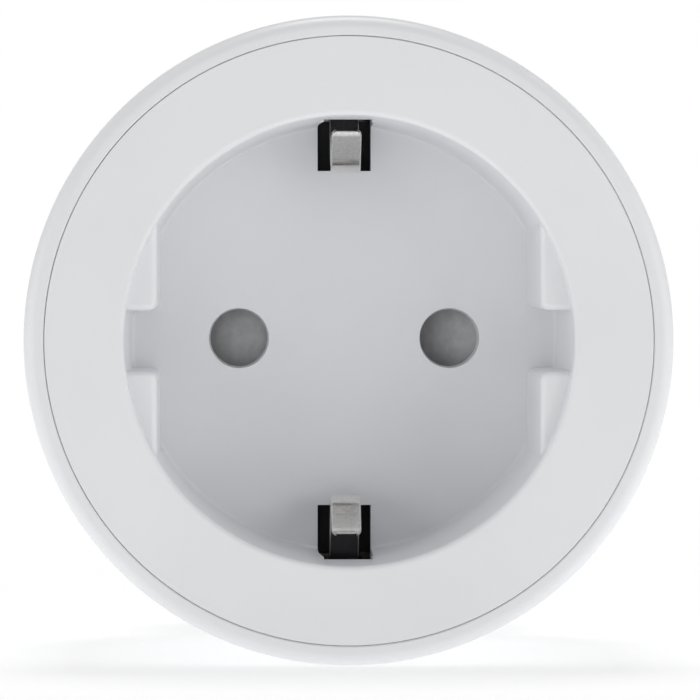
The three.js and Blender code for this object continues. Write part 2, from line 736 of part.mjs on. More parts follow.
fourCorners.forEach(([x, z], i) => {
  const place = BOARD_SCREW_PLACE;
  meter.add(
    piece(`carrier_screw_${i + 1}`, screw(carrierScrew, x * SCREW_PLACE, z * SCREW_PLACE), steel()),
    piece(`board_screw_${i + 1}`, screw(boardScrew, x * place, z * place), steel()),
  );
});

export default meter;
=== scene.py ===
"""A round plug-in power meter: socket well in front, plug boss behind, switching board inside.

Sizes in the classes are millimetres in the frame's axes: +Y into the wall, +Z up, and the
socket faces -Y. Meshes are made in millimetres and scaled to metres as they are placed.
"""

import logging
import math
from collections.abc import Iterable, Sequence
from dataclasses import dataclass, field
from enum import Enum

import bmesh
import bpy
from mathutils import Matrix, Vector


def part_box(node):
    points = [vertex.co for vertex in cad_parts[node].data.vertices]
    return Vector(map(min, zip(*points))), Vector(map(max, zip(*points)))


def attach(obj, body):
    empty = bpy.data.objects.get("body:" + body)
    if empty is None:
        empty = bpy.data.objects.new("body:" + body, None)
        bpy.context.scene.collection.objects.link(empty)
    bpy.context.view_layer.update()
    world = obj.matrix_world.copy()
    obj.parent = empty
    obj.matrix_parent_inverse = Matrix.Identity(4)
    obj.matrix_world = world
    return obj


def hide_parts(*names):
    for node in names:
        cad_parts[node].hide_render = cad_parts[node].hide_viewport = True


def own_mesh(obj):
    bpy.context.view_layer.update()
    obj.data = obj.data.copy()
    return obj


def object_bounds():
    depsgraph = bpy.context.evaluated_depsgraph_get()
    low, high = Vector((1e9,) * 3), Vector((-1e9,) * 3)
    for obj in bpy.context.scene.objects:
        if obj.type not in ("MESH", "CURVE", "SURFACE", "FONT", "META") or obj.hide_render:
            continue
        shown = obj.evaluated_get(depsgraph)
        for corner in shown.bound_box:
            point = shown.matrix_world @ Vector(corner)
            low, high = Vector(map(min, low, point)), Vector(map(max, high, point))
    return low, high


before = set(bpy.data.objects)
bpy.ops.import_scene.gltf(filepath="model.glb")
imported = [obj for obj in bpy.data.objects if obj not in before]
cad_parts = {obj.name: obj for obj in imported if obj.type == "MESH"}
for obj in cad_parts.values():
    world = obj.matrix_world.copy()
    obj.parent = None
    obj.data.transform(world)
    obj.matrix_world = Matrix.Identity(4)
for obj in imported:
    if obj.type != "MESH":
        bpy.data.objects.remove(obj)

LOG = logging.getLogger("power_meter")
MM = 0.001
FULL_TURN = 2 * math.pi
WELD = 1e-4
SMOOTH_ANGLE = math.radians(32.0)

Point2 = tuple[float, float]
Point3 = tuple[float, float, float]
Outline = list[Point2]
Shape = bmesh.types.BMesh
Material = bpy.types.Material
Socket = bpy.types.NodeSocket


def cad_planes() -> tuple[Point3, Point3]:
    """Returns the CAD model's lowest and highest corners, in metres."""
    low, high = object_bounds()
    return tuple(low), tuple(high)


CAD_BOX = cad_planes()


# ---------- mesh tools ----------


def meshed(name: str, shape: Shape) -> bpy.types.Mesh:
    """Returns a new mesh of a shape, which is used up."""
    mesh = bpy.data.meshes.new(name)
    shape.to_mesh(mesh)
    shape.free()
    return mesh


def linked(name: str, data: bpy.types.ID) -> bpy.types.Object:
    """Returns a new object that holds some data and stands in the scene."""
    holder = bpy.data.objects.new(name, data)
    bpy.context.scene.collection.objects.link(holder)
    return holder


def closed_up(shape: Shape) -> Shape:
    """Returns a shape with its doubled points welded and its faces turned outwards."""
    bmesh.ops.remove_doubles(shape, verts=shape.verts, dist=WELD)
    bmesh.ops.recalc_face_normals(shape, faces=shape.faces)
    return shape


class Axis(Enum):
    """The direction that a flat outline is drawn across and extruded along."""

    X = 0
    Y = 1
    Z = 2

    def place(self, first: float, second: float, along: float) -> Vector:
        """Returns the point with these outline coordinates, this far along the axis."""
        spot = [first, second]
        spot.insert(self.value, along)
        return Vector(spot)

    def vector(self) -> Vector:
        """Returns this axis as a unit vector."""
        return Vector([1.0 if i == self.value else 0.0 for i in range(3)])


def rounded(points: Sequence[Point2], radii: dict[int, float], steps: int = 6) -> Outline:
    """Rounds some corners of a line of points.

    Args:
        points: The corners.
        radii: How far back from a corner its round starts, by the corner's number.
        steps: How many stretches each round is made of.

    Returns:
        The line with its rounds.
    """
    made: Outline = []
    for i, corner in enumerate(points):
        if i not in radii:
            made.append(tuple(corner))
            continue
        here = Vector(corner)
        before = Vector(points[i - 1])
        after = Vector(points[(i + 1) % len(points)])
        start = here + (before - here).normalized() * radii[i]
        end = here + (after - here).normalized() * radii[i]
        for step in range(steps + 1):
            u = step / steps
            spot = start * (1 - u) ** 2 + here * 2 * u * (1 - u) + end * u**2
            made.append((spot.x, spot.y))
    return made


def quarter(start: Point2, end: Point2, along_second: bool, steps: int) -> Outline:
    """Draws a quarter of an ellipse.

    Args:
        start: Its first point.
        end: Its last point.
        along_second: Whether it sets out along the second coordinate.
        steps: How many stretches it is made of.

    Returns:
        The points from start to end.
    """
    made: Outline = []
    for i in range(steps + 1):
        turn = i / steps * math.pi / 2
        slow, fast = 1 - math.cos(turn), math.sin(turn)
        first, second = (slow, fast) if along_second else (fast, slow)
        made.append(
            (start[0] + (end[0] - start[0]) * first, start[1] + (end[1] - start[1]) * second)
        )
    return made


def arc(centre: Point2, radius: float, start: float, end: float, steps: int) -> Outline:
    """Returns the points along part of a circle, between two angles in degrees."""
    angles = [math.radians(start + (end - start) * i / steps) for i in range(steps + 1)]
    return [(centre[0] + radius * math.cos(a), centre[1] + radius * math.sin(a)) for a in angles]


def oval(centre: Point2, width: float, height: float, steps: int = 16) -> Outline:
    """Draws an upright oval with straight sides and round ends.

    Args:
        centre: Its centre.
        width: Its width, along the first coordinate.
        height: Its height, along the second.
        steps: How many stretches each end is made of.

    Returns:
        The points round it.
    """
    radius, rise = width / 2, (height - width) / 2
    top = arc((centre[0], centre[1] + rise), radius, 0, 180, steps)
    bottom = arc((centre[0], centre[1] - rise), radius, 180, 360, steps)
    return top + bottom


def lathe(profile: Sequence[Point2], closed: bool = False, steps: int = 160) -> Shape:
    """Turns a profile of (radius, y) points about the Y axis.

    Args:
        profile: The points, which start and end on the axis unless closed.
        closed: Whether the last point joins the first.
        steps: How many stretches the turn is made of.

    Returns:
        A closed shape with its faces outwards.
    """
    shape = bmesh.new()
    ring = [shape.verts.new((radius, y, 0.0)) for radius, y in profile]
    pairs = list(zip(ring, ring[1:])) + ([(ring[-1], ring[0])] if closed else [])
    edges = [shape.edges.new(pair) for pair in pairs]
    bmesh.ops.spin(
        shape,
        geom=ring + edges,
        cent=(0, 0, 0),
        axis=(0, 1, 0),
        angle=FULL_TURN,
        steps=steps,
        use_merge=True,
    )
    return closed_up(shape)


def prism(outline: Sequence[Point2], axis: Axis, low: float, high: float) -> Shape:
    """Extrudes a flat outline.

    Args:
        outline: The points round it.
        axis: The direction to extrude along.
        low: Where it starts.
        high: Where it ends.

    Returns:
        A closed shape with its faces outwards.
    """
    shape = bmesh.new()
    face = shape.faces.new([shape.verts.new(axis.place(a, b, low)) for a, b in outline])
    made = bmesh.ops.extrude_face_region(shape, geom=[face])
    moved = [item for item in made["geom"] if isinstance(item, bmesh.types.BMVert)]
    bmesh.ops.translate(shape, verts=moved, vec=axis.vector() * (high - low))
    return closed_up(shape)


def slab(low: Point3, high: Point3) -> Shape:
    """Makes a block.

    Args:
        low: Its lowest corner.
        high: Its highest corner.

    Returns:
        A closed shape.
    """
    shape = bmesh.new()
    bmesh.ops.create_cube(shape, size=1)
    size = [b - a for a, b in zip(low, high)]
    bmesh.ops.scale(shape, vec=size, verts=shape.verts)
    return moved(shape, *[(a + b) / 2 for a, b in zip(low, high)])


def rod(radius: float, axis: Axis, low: Point3, high: Point3, edge: float = 0.0) -> Shape:
    """Makes a straight round rod along one axis.

    Args:
        radius: Its radius.
        axis: The axis it lies along.
        low: The centre of its first end.
        high: The centre of its other end.
        edge: How wide the softening of its rims is.

    Returns:
        A closed shape.
    """
    start, end = Vector(low), Vector(high)
    flat = [value for i, value in enumerate(start) if i != axis.value]
    shape = prism(
        arc((flat[0], flat[1]), radius, 0, 360, 32)[:-1], axis, start[axis.value], end[axis.value]
    )
    return soften(shape, edge, 3, 60) if edge else shape


def soften(
    shape: Shape, width: float, segments: int = 3, angle: float = 30.0, edges: list | None = None
) -> Shape:
    """Rounds a shape's sharp edges.

    Args:
        shape: The shape, which is changed.
        width: How wide each round is.
        segments: How many faces each round has.
        angle: The least angle between two faces that counts as sharp, in degrees.
        edges: The edges to round in place of the sharp ones.

    Returns:
        The same shape.
    """
    if edges is None:
        limit = math.radians(angle)
        edges = [e for e in shape.edges if e.is_manifold and e.calc_face_angle(0.0) > limit]
    bmesh.ops.bevel(
        shape,
        geom=edges,
        offset=width,
        offset_type="OFFSET",
        segments=segments,
        profile=0.5,
        affect="EDGES",
        clamp_overlap=True,
        material=-1,
    )
    return shape


def gathered(shapes: Iterable[Shape]) -> Shape:
    """Puts several shapes into one mesh, without joining their surfaces.

    Args:
        shapes: The shapes, which are used up.

    Returns:
        One mesh of them all.
    """
    whole = bmesh.new()
    for shape in shapes:
        mesh = meshed("part", shape)
        whole.from_mesh(mesh)
        bpy.data.meshes.remove(mesh)
    return whole


class Solid(Enum):
    """How two closed shapes are put together."""

    CUT = "DIFFERENCE"
    FUSE = "UNION"
    KEEP = "INTERSECT"

    def apply(self, base: Shape, tools: Iterable[Shape]) -> Shape:
        """Puts shapes together.

        Args:
            base: The shape that is worked on, which is used up.
            tools: The shapes that cut or join it, which are used up.

        Returns:
            The result.
        """
        holders = [linked("work", meshed("work", shape)) for shape in [base, *tools]]
        for tool in holders[1:]:
            step = holders[0].modifiers.new("solid", "BOOLEAN")
            step.operation = self.value
            step.solver = "EXACT"
            step.object = tool
        graph = bpy.context.evaluated_depsgraph_get()
        result = bmesh.new()
        result.from_object(holders[0], graph)
        for holder in holders:
            mesh = holder.data
            bpy.data.objects.remove(holder)
            bpy.data.meshes.remove(mesh)
        bmesh.ops.remove_doubles(result, verts=result.verts, dist=WELD)
        return result


def mirrored(shape: Shape, axis: Axis) -> Shape:
    """Makes the mirror image of a shape.

    Args:
        shape: The shape, which stays.
        axis: The axis whose sign changes.

    Returns:
        The mirror image, with its faces outwards.
    """
    image = shape.copy()
    flip = Vector([-1.0 if i == axis.value else 1.0 for i in range(3)])
    bmesh.ops.scale(image, vec=flip, verts=image.verts)
    bmesh.ops.reverse_faces(image, faces=image.faces)
    return image


def moved(shape: Shape, x: float = 0.0, y: float = 0.0, z: float = 0.0) -> Shape:
    """Returns the same shape, moved along the three axes."""
    bmesh.ops.translate(shape, vec=(x, y, z), verts=shape.verts)
    return shape


def walked(line: Sequence[Point2], travelled: float) -> tuple[Vector, Vector]:
    """Finds a place along a line of points.

    Args:
        line: The points.
        travelled: How far along it to go.

    Returns:
        The place there, and the direction that the line runs in.
    """
    points = [Vector(point) for point in line]
    for start, end in zip(points, points[1:]):
        length = (end - start).length
        if travelled <= length + 1e-9 or end is points[-1]:
            direction = (end - start).normalized()
            return start + direction * travelled, direction
        travelled -= length
    raise ValueError("a line needs two points")


def section(half_width: float, half_thickness: float, edge: float, steps: int = 3) -> Outline:
    """Draws a strip's cross-section, a rectangle with round edges.

    Args:
        half_width: Half its width.
        half_thickness: Half its thickness.
        edge: The radius of its edges.
        steps: How many faces each edge has.

    Returns:
        Its points as (across, out of the strip) pairs.
    """
    centres = [(1, 1, 0), (-1, 1, 90), (-1, -1, 180), (1, -1, 270)]
    points: Outline = []
    for x, z, start in centres:
        centre = (x * (half_width - edge), z * (half_thickness - edge))
        points += arc(centre, edge, start, start + 90, steps)
    return points


def bent_strip(line: Sequence[Point2], width: float, thickness: float, corner: float) -> Shape:
    """Bends a metal strip along a line of (y, z) points, centred on X = 0.

    Args:
        line: The middle of the strip's thickness.
        width: Its width.
        thickness: Its thickness.
        corner: The radius of the two corners at its last end.

    Returns:
        A closed shape with round edges.
    """
    edge = thickness * 0.28
    lengths = [math.dist(*pair) for pair in zip(line, line[1:])]
    total = sum(lengths)
    turns = [math.radians(angle) for angle in range(0, 91, 10)]
    marks = {sum(lengths[:i]) for i in range(len(line)) if sum(lengths[:i]) < total - corner}
    marks |= {total - corner + corner * math.sin(turn) for turn in turns}
    marks |= {total - edge + edge * math.sin(turn) for turn in turns[::3]}
    strip = bmesh.new()
    rings = []
    for mark in sorted(marks):
        before = walked(line, max(mark - 1e-4, 0.0))[1]
        place, after = walked(line, mark + 1e-4)
        along = (before + after).normalized()
        out = Vector((-along.y, along.x)) / along.dot(before)
        side = fall(mark - (total - corner), corner)
        face = fall(mark - (total - edge), edge)
        ring = section(width / 2 - side, thickness / 2 - face, max(edge - face, 0.01))
        rings.append(
            [strip.verts.new((x, place.x + out.x * n, place.y + out.y * n)) for x, n in ring]
        )
    for first, second in zip(rings, rings[1:]):
        for i in range(len(first)):
            j = (i + 1) % len(first)
            strip.faces.new((first[i], first[j], second[j], second[i]))
    strip.faces.new(rings[0])
    strip.faces.new(rings[-1])
    return closed_up(strip)


def fall(past: float, radius: float) -> float:
    """Finds how far a round corner has fallen away, a distance past where it starts.

    Args:
        past: The distance.
        radius: The corner's radius.

    Returns:
        How far it has fallen.
    """
    if past <= 0:
        return 0.0
    return radius - math.sqrt(max(radius**2 - min(past, radius) ** 2, 0.0))


def swept_tube(points: Sequence[Point3], radius: float) -> Shape:
    """Runs a round tube along a smooth line.

    Args:
        points: The points that it passes through.
        radius: Its radius.

    Returns:
        A closed shape.
    """
    curve = bpy.data.curves.new("tube", "CURVE")
    curve.dimensions = "3D"
    curve.bevel_depth = radius
    curve.bevel_resolution = 1
    curve.use_fill_caps = True
    line = curve.splines.new("POLY")
    line.points.add(len(points) - 1)
    for spot, point in zip(line.points, points):
        spot.co = (*point, 1)
    holder = linked("tube", curve)
    graph = bpy.context.evaluated_depsgraph_get()
    mesh = bpy.data.meshes.new_from_object(holder.evaluated_get(graph))
    result = bmesh.new()
    result.from_mesh(mesh)
    bpy.data.objects.remove(holder)
    bpy.data.curves.remove(curve)
    bpy.data.meshes.remove(mesh)
    return closed_up(result)


def cad_copy(node: str, edge: float) -> Shape:
    """Copies a CAD node in millimetres and softens its edges.

    Args:
        node: The node's name.
        edge: How wide the softening is.

    Returns:
        A closed shape.
    """
    shape = bmesh.new()
    shape.from_mesh(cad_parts[node].data)
    bmesh.ops.scale(shape, vec=(1 / MM, 1 / MM, 1 / MM), verts=shape.verts)
    bmesh.ops.remove_doubles(shape, verts=shape.verts, dist=1e-3)
    bmesh.ops.dissolve_limit(
        shape, angle_limit=math.radians(1), verts=shape.verts, edges=shape.edges
    )
    return soften(shape, edge, 2)


# ---------- finishes ----------


class Graph:
    """Builds the nodes of one material around its Principled shader."""

    def __init__(self, name: str) -> None:
        """Starts a material of the given name."""
        self.material = bpy.data.materials.new(name)
        self.material.use_nodes = True
        self.tree = self.material.node_tree
        self.shader = self.tree.nodes["Principled BSDF"]
        self.coordinates = self.tree.nodes.new("ShaderNodeTexCoord").outputs["Object"]

    def constants(self, **values: object) -> None:
        """Sets the shader's own sockets, named with underscores for spaces."""
        for name, value in values.items():
            self.shader.inputs[name.replace("_", " ")].default_value = value

    def stretched(self, scale: Point3) -> Socket:
        """Scales the object's coordinates.

        Args:
            scale: The factor along each axis.

        Returns:
            The scaled coordinates.
        """
        mapping = self.tree.nodes.new("ShaderNodeMapping")
        mapping.inputs["Scale"].default_value = scale
        self.tree.links.new(self.coordinates, mapping.inputs["Vector"])
        return mapping.outputs["Vector"]

    def noise(self, scale: float, detail: float = 3.0, where: Socket | None = None) -> Socket:
        """Adds a noise pattern.

        Args:
            scale: Features per metre.
            detail: How many finer layers it has.
            where: The coordinates it reads, or the object's own.

        Returns:
            Its value.
        """
        pattern = self.tree.nodes.new("ShaderNodeTexNoise")
        pattern.inputs["Scale"].default_value = scale
        pattern.inputs["Detail"].default_value = detail
        self.tree.links.new(where or self.coordinates, pattern.inputs["Vector"])
        return pattern.outputs[0]

    def roughened(self, pattern: Socket, low: float, high: float) -> None:
        """Varies the surface's roughness by the middle range of a pattern.

        Args:
            pattern: The pattern.
            low: The roughness at its low end.
            high: The roughness at its high end.
        """
        span = self.tree.nodes.new("ShaderNodeMapRange")
        ends = {"From Min": 0.3, "From Max": 0.7, "To Min": low, "To Max": high}
        for socket, value in ends.items():
            span.inputs[socket].default_value = value
        self.tree.links.new(pattern, span.inputs["Value"])
        self.tree.links.new(span.outputs["Result"], self.shader.inputs["Roughness"])

    def coloured(
        self, pattern: Socket, low: Point3, high: Point3, limits: Point2 = (0.35, 0.65)
    ) -> None:
        """Colours the surface by a pattern, from one colour to another.

        Args:
            pattern: The pattern.
            low: The colour at its low end.
            high: The colour at its high end.
            limits: The pattern's values at the two ends.
        """
        ramp = self.tree.nodes.new("ShaderNodeValToRGB")
        ends = ramp.color_ramp.elements
        ends[0].position, ends[1].position = limits
        ends[0].color = (*low, 1)
        ends[1].color = (*high, 1)
        self.tree.links.new(pattern, ramp.inputs["Fac"])
        self.tree.links.new(ramp.outputs["Color"], self.shader.inputs["Base Color"])

    def bumped(self, height: Socket, depth: float, strength: float) -> None:
        """Raises the surface by a pattern.

        Args:
            height: The pattern.
            depth: The height of its relief, in metres.
            strength: How much of it shows.
        """
        bump = self.tree.nodes.new("ShaderNodeBump")
        bump.inputs["Distance"].default_value = depth
        bump.inputs["Strength"].default_value = strength
        self.tree.links.new(height, bump.inputs["Height"])
        self.tree.links.new(bump.outputs["Normal"], self.shader.inputs["Normal"])


def shaded(colour: Point3, factor: float) -> Point3:
    """Returns a colour made lighter or darker by a factor, with no channel over one."""
    return tuple(min(channel * factor, 1.0) for channel in colour)


@dataclass(frozen=True)
class MouldedPlastic:
    """Injection-moulded plastic with a fine spark-eroded grain and faint flow clouding."""

    name: str
    colour: Point3
    roughness: float = 0.42
    grain: float = 5200.0
    relief: float = 0.000012
    clouding: float = 0.03
    clouds: float = 60.0
    gloss: float = 0.5

    def material(self) -> Material:
        """Returns the material."""
        graph = Graph(self.name)
        clouds = graph.noise(self.clouds, 4)
        low = shaded(self.colour, 1 - self.clouding)
        graph.coloured(clouds, low, self.colour)
        grain = graph.noise(self.grain, 2)
        graph.roughened(grain, self.roughness - 0.04, self.roughness + 0.04)
        graph.bumped(grain, self.relief, 0.35)
        graph.constants(Specular_IOR_Level=self.gloss, IOR=1.49)
        return graph.material


@dataclass(frozen=True)
class PlatedMetal:
    """Rolled and plated metal, with fine lines along one axis and slight mottling."""

    name: str
    colour: Point3
    roughness: float = 0.24
    lines: Point3 = (1.0, 0.06, 0.06)
    mottle: float = 0.05
    patches: float = 420.0

    def material(self) -> Material:
        """Returns the material."""
        graph = Graph(self.name)
        along = graph.stretched(self.lines)
        rolled = graph.noise(9000, 3, along)
        patches = graph.noise(self.patches, 4)
        low = shaded(self.colour, 1 - self.mottle)
        graph.coloured(patches, low, self.colour)
        graph.roughened(rolled, self.roughness - 0.03, self.roughness + 0.05)
        graph.bumped(rolled, 0.000003, 0.15)
        graph.constants(Metallic=1.0)
        return graph.material


@dataclass(frozen=True)
class CircuitLacquer:
    """Green solder mask over copper tracks, which show as slightly raised, lighter lines."""

    name: str
    mask: Point3 = (0.012, 0.13, 0.05)
    track: Point3 = (0.03, 0.24, 0.09)

    def material(self) -> Material:
        """Returns the material."""
        graph = Graph(self.name)
        tracks = graph.tree.nodes.new("ShaderNodeTexVoronoi")
        tracks.distance = "CHEBYCHEV"
        tracks.feature = "F1"
        tracks.inputs["Scale"].default_value = 420
        graph.tree.links.new(graph.coordinates, tracks.inputs["Vector"])
        edges = tracks.outputs["Distance"]
        graph.coloured(edges, self.mask, self.track, (0.34, 0.4))
        graph.bumped(edges, 0.00003, 0.4)
        graph.constants(Roughness=0.3, Coat_Weight=0.4, Coat_Roughness=0.15)
        return graph.material


@dataclass(frozen=True)
class ClearPlastic:
    """Clear acrylic with a faint haze."""

    name: str
    tint: Point3 = (0.9, 0.93, 0.94)

    def material(self) -> Material:
        """Returns the material."""
        graph = Graph(self.name)
        haze = graph.noise(800, 3)
        graph.coloured(haze, shaded(self.tint, 0.94), self.tint)
        graph.roughened(haze, 0.14, 0.3)
        graph.constants(Transmission_Weight=0.55, IOR=1.49)
        return graph.material


@dataclass(frozen=True)
class Dipped:
    """Lacquer or sleeve with a soft, slightly uneven gloss, as on capacitors and wire."""

    name: str
    colour: Point3
    roughness: float = 0.3
    relief: float = 0.00004

    def material(self) -> Material:
        """Returns the material."""
        graph = Graph(self.name)
        flow = graph.noise(320, 2)
        graph.coloured(flow, shaded(self.colour, 0.86), self.colour)
        graph.roughened(flow, self.roughness - 0.06, self.roughness + 0.08)
        graph.bumped(flow, self.relief, 0.4)
        graph.constants(Coat_Weight=0.25, Coat_Roughness=0.2)
        return graph.material


def finish(kind: MouldedPlastic | PlatedMetal | CircuitLacquer | ClearPlastic | Dipped) -> Material:
    """Declares a finish, whose material is made when the finishes are."""
    return field(default_factory=kind.material)


@dataclass(frozen=True)
class Finishes:
    """Every finish on the object, made once."""

    white: Material = finish(MouldedPlastic("white_plastic", (0.875, 0.885, 0.905), 0.4))
    boss: Material = finish(MouldedPlastic("white_boss_plastic", (0.84, 0.85, 0.865), 0.46))
    grey: Material = finish(
        MouldedPlastic("grey_plastic", (0.55, 0.55, 0.56), 0.5, clouding=0.16, clouds=1100)
    )
    carrier: Material = finish(MouldedPlastic("carrier_plastic", (0.06, 0.06, 0.068), 0.5))
    black: Material = finish(MouldedPlastic("black_plastic", (0.022, 0.022, 0.025), 0.5))
    nickel: Material = finish(
        PlatedMetal("nickel_plate", (0.82, 0.8, 0.78), 0.16, (0.1, 1, 1), mottle=0.13, patches=4200)
    )
    pin_metal: Material = finish(PlatedMetal("pin_nickel", (0.74, 0.72, 0.69), 0.2, (1, 0.03, 1)))
    bronze: Material = finish(PlatedMetal("contact_bronze", (0.72, 0.5, 0.27), 0.3))
    steel: Material = finish(PlatedMetal("plated_steel", (0.62, 0.63, 0.64), 0.3, (1, 1, 1)))
    copper: Material = finish(PlatedMetal("enamelled_copper", (0.6, 0.24, 0.1), 0.25))
    board: Material = finish(CircuitLacquer("circuit_board"))
    clear: Material = finish(ClearPlastic("clear_plastic"))
    yellow: Material = finish(Dipped("component_yellow", (0.72, 0.5, 0.07)))
    blue: Material = finish(Dipped("component_blue", (0.06, 0.16, 0.42)))
    green: Material = finish(Dipped("component_green", (0.2, 0.36, 0.24)))
    wire_brown: Material = finish(Dipped("wire_brown", (0.16, 0.06, 0.03)))
    wire_blue: Material = finish(Dipped("wire_blue", (0.03, 0.12, 0.42)))
    wire_green: Material = finish(Dipped("wire_green", (0.3, 0.5, 0.06)))


# ---------- placing ----------


def placed(
    name: str,
    shape: Shape,
    finish: Material,
    nodes: Sequence[str] = (),
    body: str = "meter_body",
) -> bpy.types.Object:
    """Makes a shape a piece of the object.

    Args:
        name: The piece's name.
        shape: Its mesh, in millimetres, which is used up.
        finish: Its material.
        nodes: The CAD nodes that it replaces.
        body: The body that it rides on.

    Returns:
        The piece.
    """
    bmesh.ops.scale(shape, vec=(MM, MM, MM), verts=shape.verts)
    mesh = meshed(name, shape)
    mesh.materials.clear()
    mesh.materials.append(finish)
    mesh.polygons.foreach_set("material_index", [0] * len(mesh.polygons))
    mesh.shade_smooth()
    mesh.set_sharp_from_angle(angle=SMOOTH_ANGLE)
    piece = linked(name, mesh)
    weighted = piece.modifiers.new("even_shading", "WEIGHTED_NORMAL")
    weighted.keep_sharp = True
    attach(piece, body)
    if nodes:
        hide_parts(*nodes)
    LOG.info("%s: %d faces, on %s", name, len(mesh.polygons), body)
    return piece


def dressed(node: str, finish: Material) -> None:
    """Gives a CAD node that stays a better material.

    Args:
        node: The node's name.
        finish: Its material.
    """
    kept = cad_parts[node]
    kept.data.materials.clear()
    kept.data.materials.append(finish)
    LOG.info("%s: kept, dressed in %s", node, finish.name)


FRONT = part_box("housing_shell")[0].y / MM
BODY_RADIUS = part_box("housing_shell")[1].x / MM
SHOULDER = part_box("housing_shell")[1].y / MM
PIN_OFFSET = 9.5
BUTTON_CENTRE = (-34.0, 0.0)
LIGHT_Y = -41.0
BOSS_RADIUS = 19.0
BOSS_FLAT = 16.6
RIB_HALF_WIDTH = 2.5
RIB_REACH = 18.8
BOARD_BACK = -22.85


# ---------- enclosure ----------


@dataclass
class Housing:
    """The round outer shell, with its front rim, shoulder, button opening and light hole."""

    finishes: Finishes
    inner_radius: float = 26.65
    rim_flat: float = 27.3
    rim_depth: float = 1.5
    shoulder_start: float = -29.5
    shoulder_radius: float = 20.2
    lip: float = 1.8
    opening: float = 15.4
    boss_gap: float = 0.25
    button_size: Point2 = (8.5, 14.5)
    light_hole: float = 1.45
    side_depth: float = 22.0

    def build(self) -> None:
        """Builds the shell."""
        seat = SHOULDER - self.lip
        start = self.shoulder_start
        profile = [
            (self.inner_radius, FRONT + 0.25),
            (self.inner_radius + 0.04, FRONT + 0.1),
            (self.inner_radius + 0.14, FRONT),
            *quarter((self.rim_flat, FRONT), (BODY_RADIUS, FRONT + self.rim_depth), False, 14),
            *quarter((BODY_RADIUS, start), (self.shoulder_radius, SHOULDER), True, 30),
            (self.opening, SHOULDER),
            (self.opening, seat),
            *quarter((self.shoulder_radius, seat), (self.inner_radius, start), False, 16),
        ]
        shell = lathe(profile, closed=True, steps=224)
        inside, outside = self.side_depth, BODY_RADIUS + 1
        cutters = [
            boss_prism(self.boss_gap, seat - 1, SHOULDER + 1),
            prism(oval(BUTTON_CENTRE, *self.button_size), Axis.X, inside, outside),
            rod(self.light_hole, Axis.X, (inside, LIGHT_Y, 0), (outside, LIGHT_Y, 0)),
        ]
        shape = Solid.CUT.apply(shell, cutters)
        placed("housing", shape, self.finishes.white, ["housing_shell"])


def boss_prism(grow: float, low: float, high: float, edge: float = 0.0) -> Shape:
    """Makes the plug boss's outside form: round, with two flats that each carry a rib.

    Args:
        grow: How far it stands proud all round.
        low: Where it starts along Y.
        high: Where it ends.
        edge: The radius of its corners, seen along Y.

    Returns:
        A closed shape.
    """
    radius, flat = BOSS_RADIUS + grow, BOSS_FLAT + grow
    rib, reach = RIB_HALF_WIDTH + grow, RIB_REACH + grow
    corner = math.degrees(math.acos(flat / radius))
    half = [
        *arc((0, 0), radius, corner, 180 - corner, 60),
        (-flat, rib),
        (-reach, rib),
        (-reach, -rib),
        (-flat, -rib),
        *arc((0, 0), radius, 180 + corner, 360 - corner, 60),
        (flat, -rib),
        (reach, -rib),
        (reach, rib),
        (flat, rib),
    ]
    shape = prism(half, Axis.Y, low, high)
    if edge:
        rims = [e for e in shape.edges if all(abs(v.co.y - high) < WELD for v in e.verts)]
        soften(shape, edge, 4, edges=rims)
    return shape


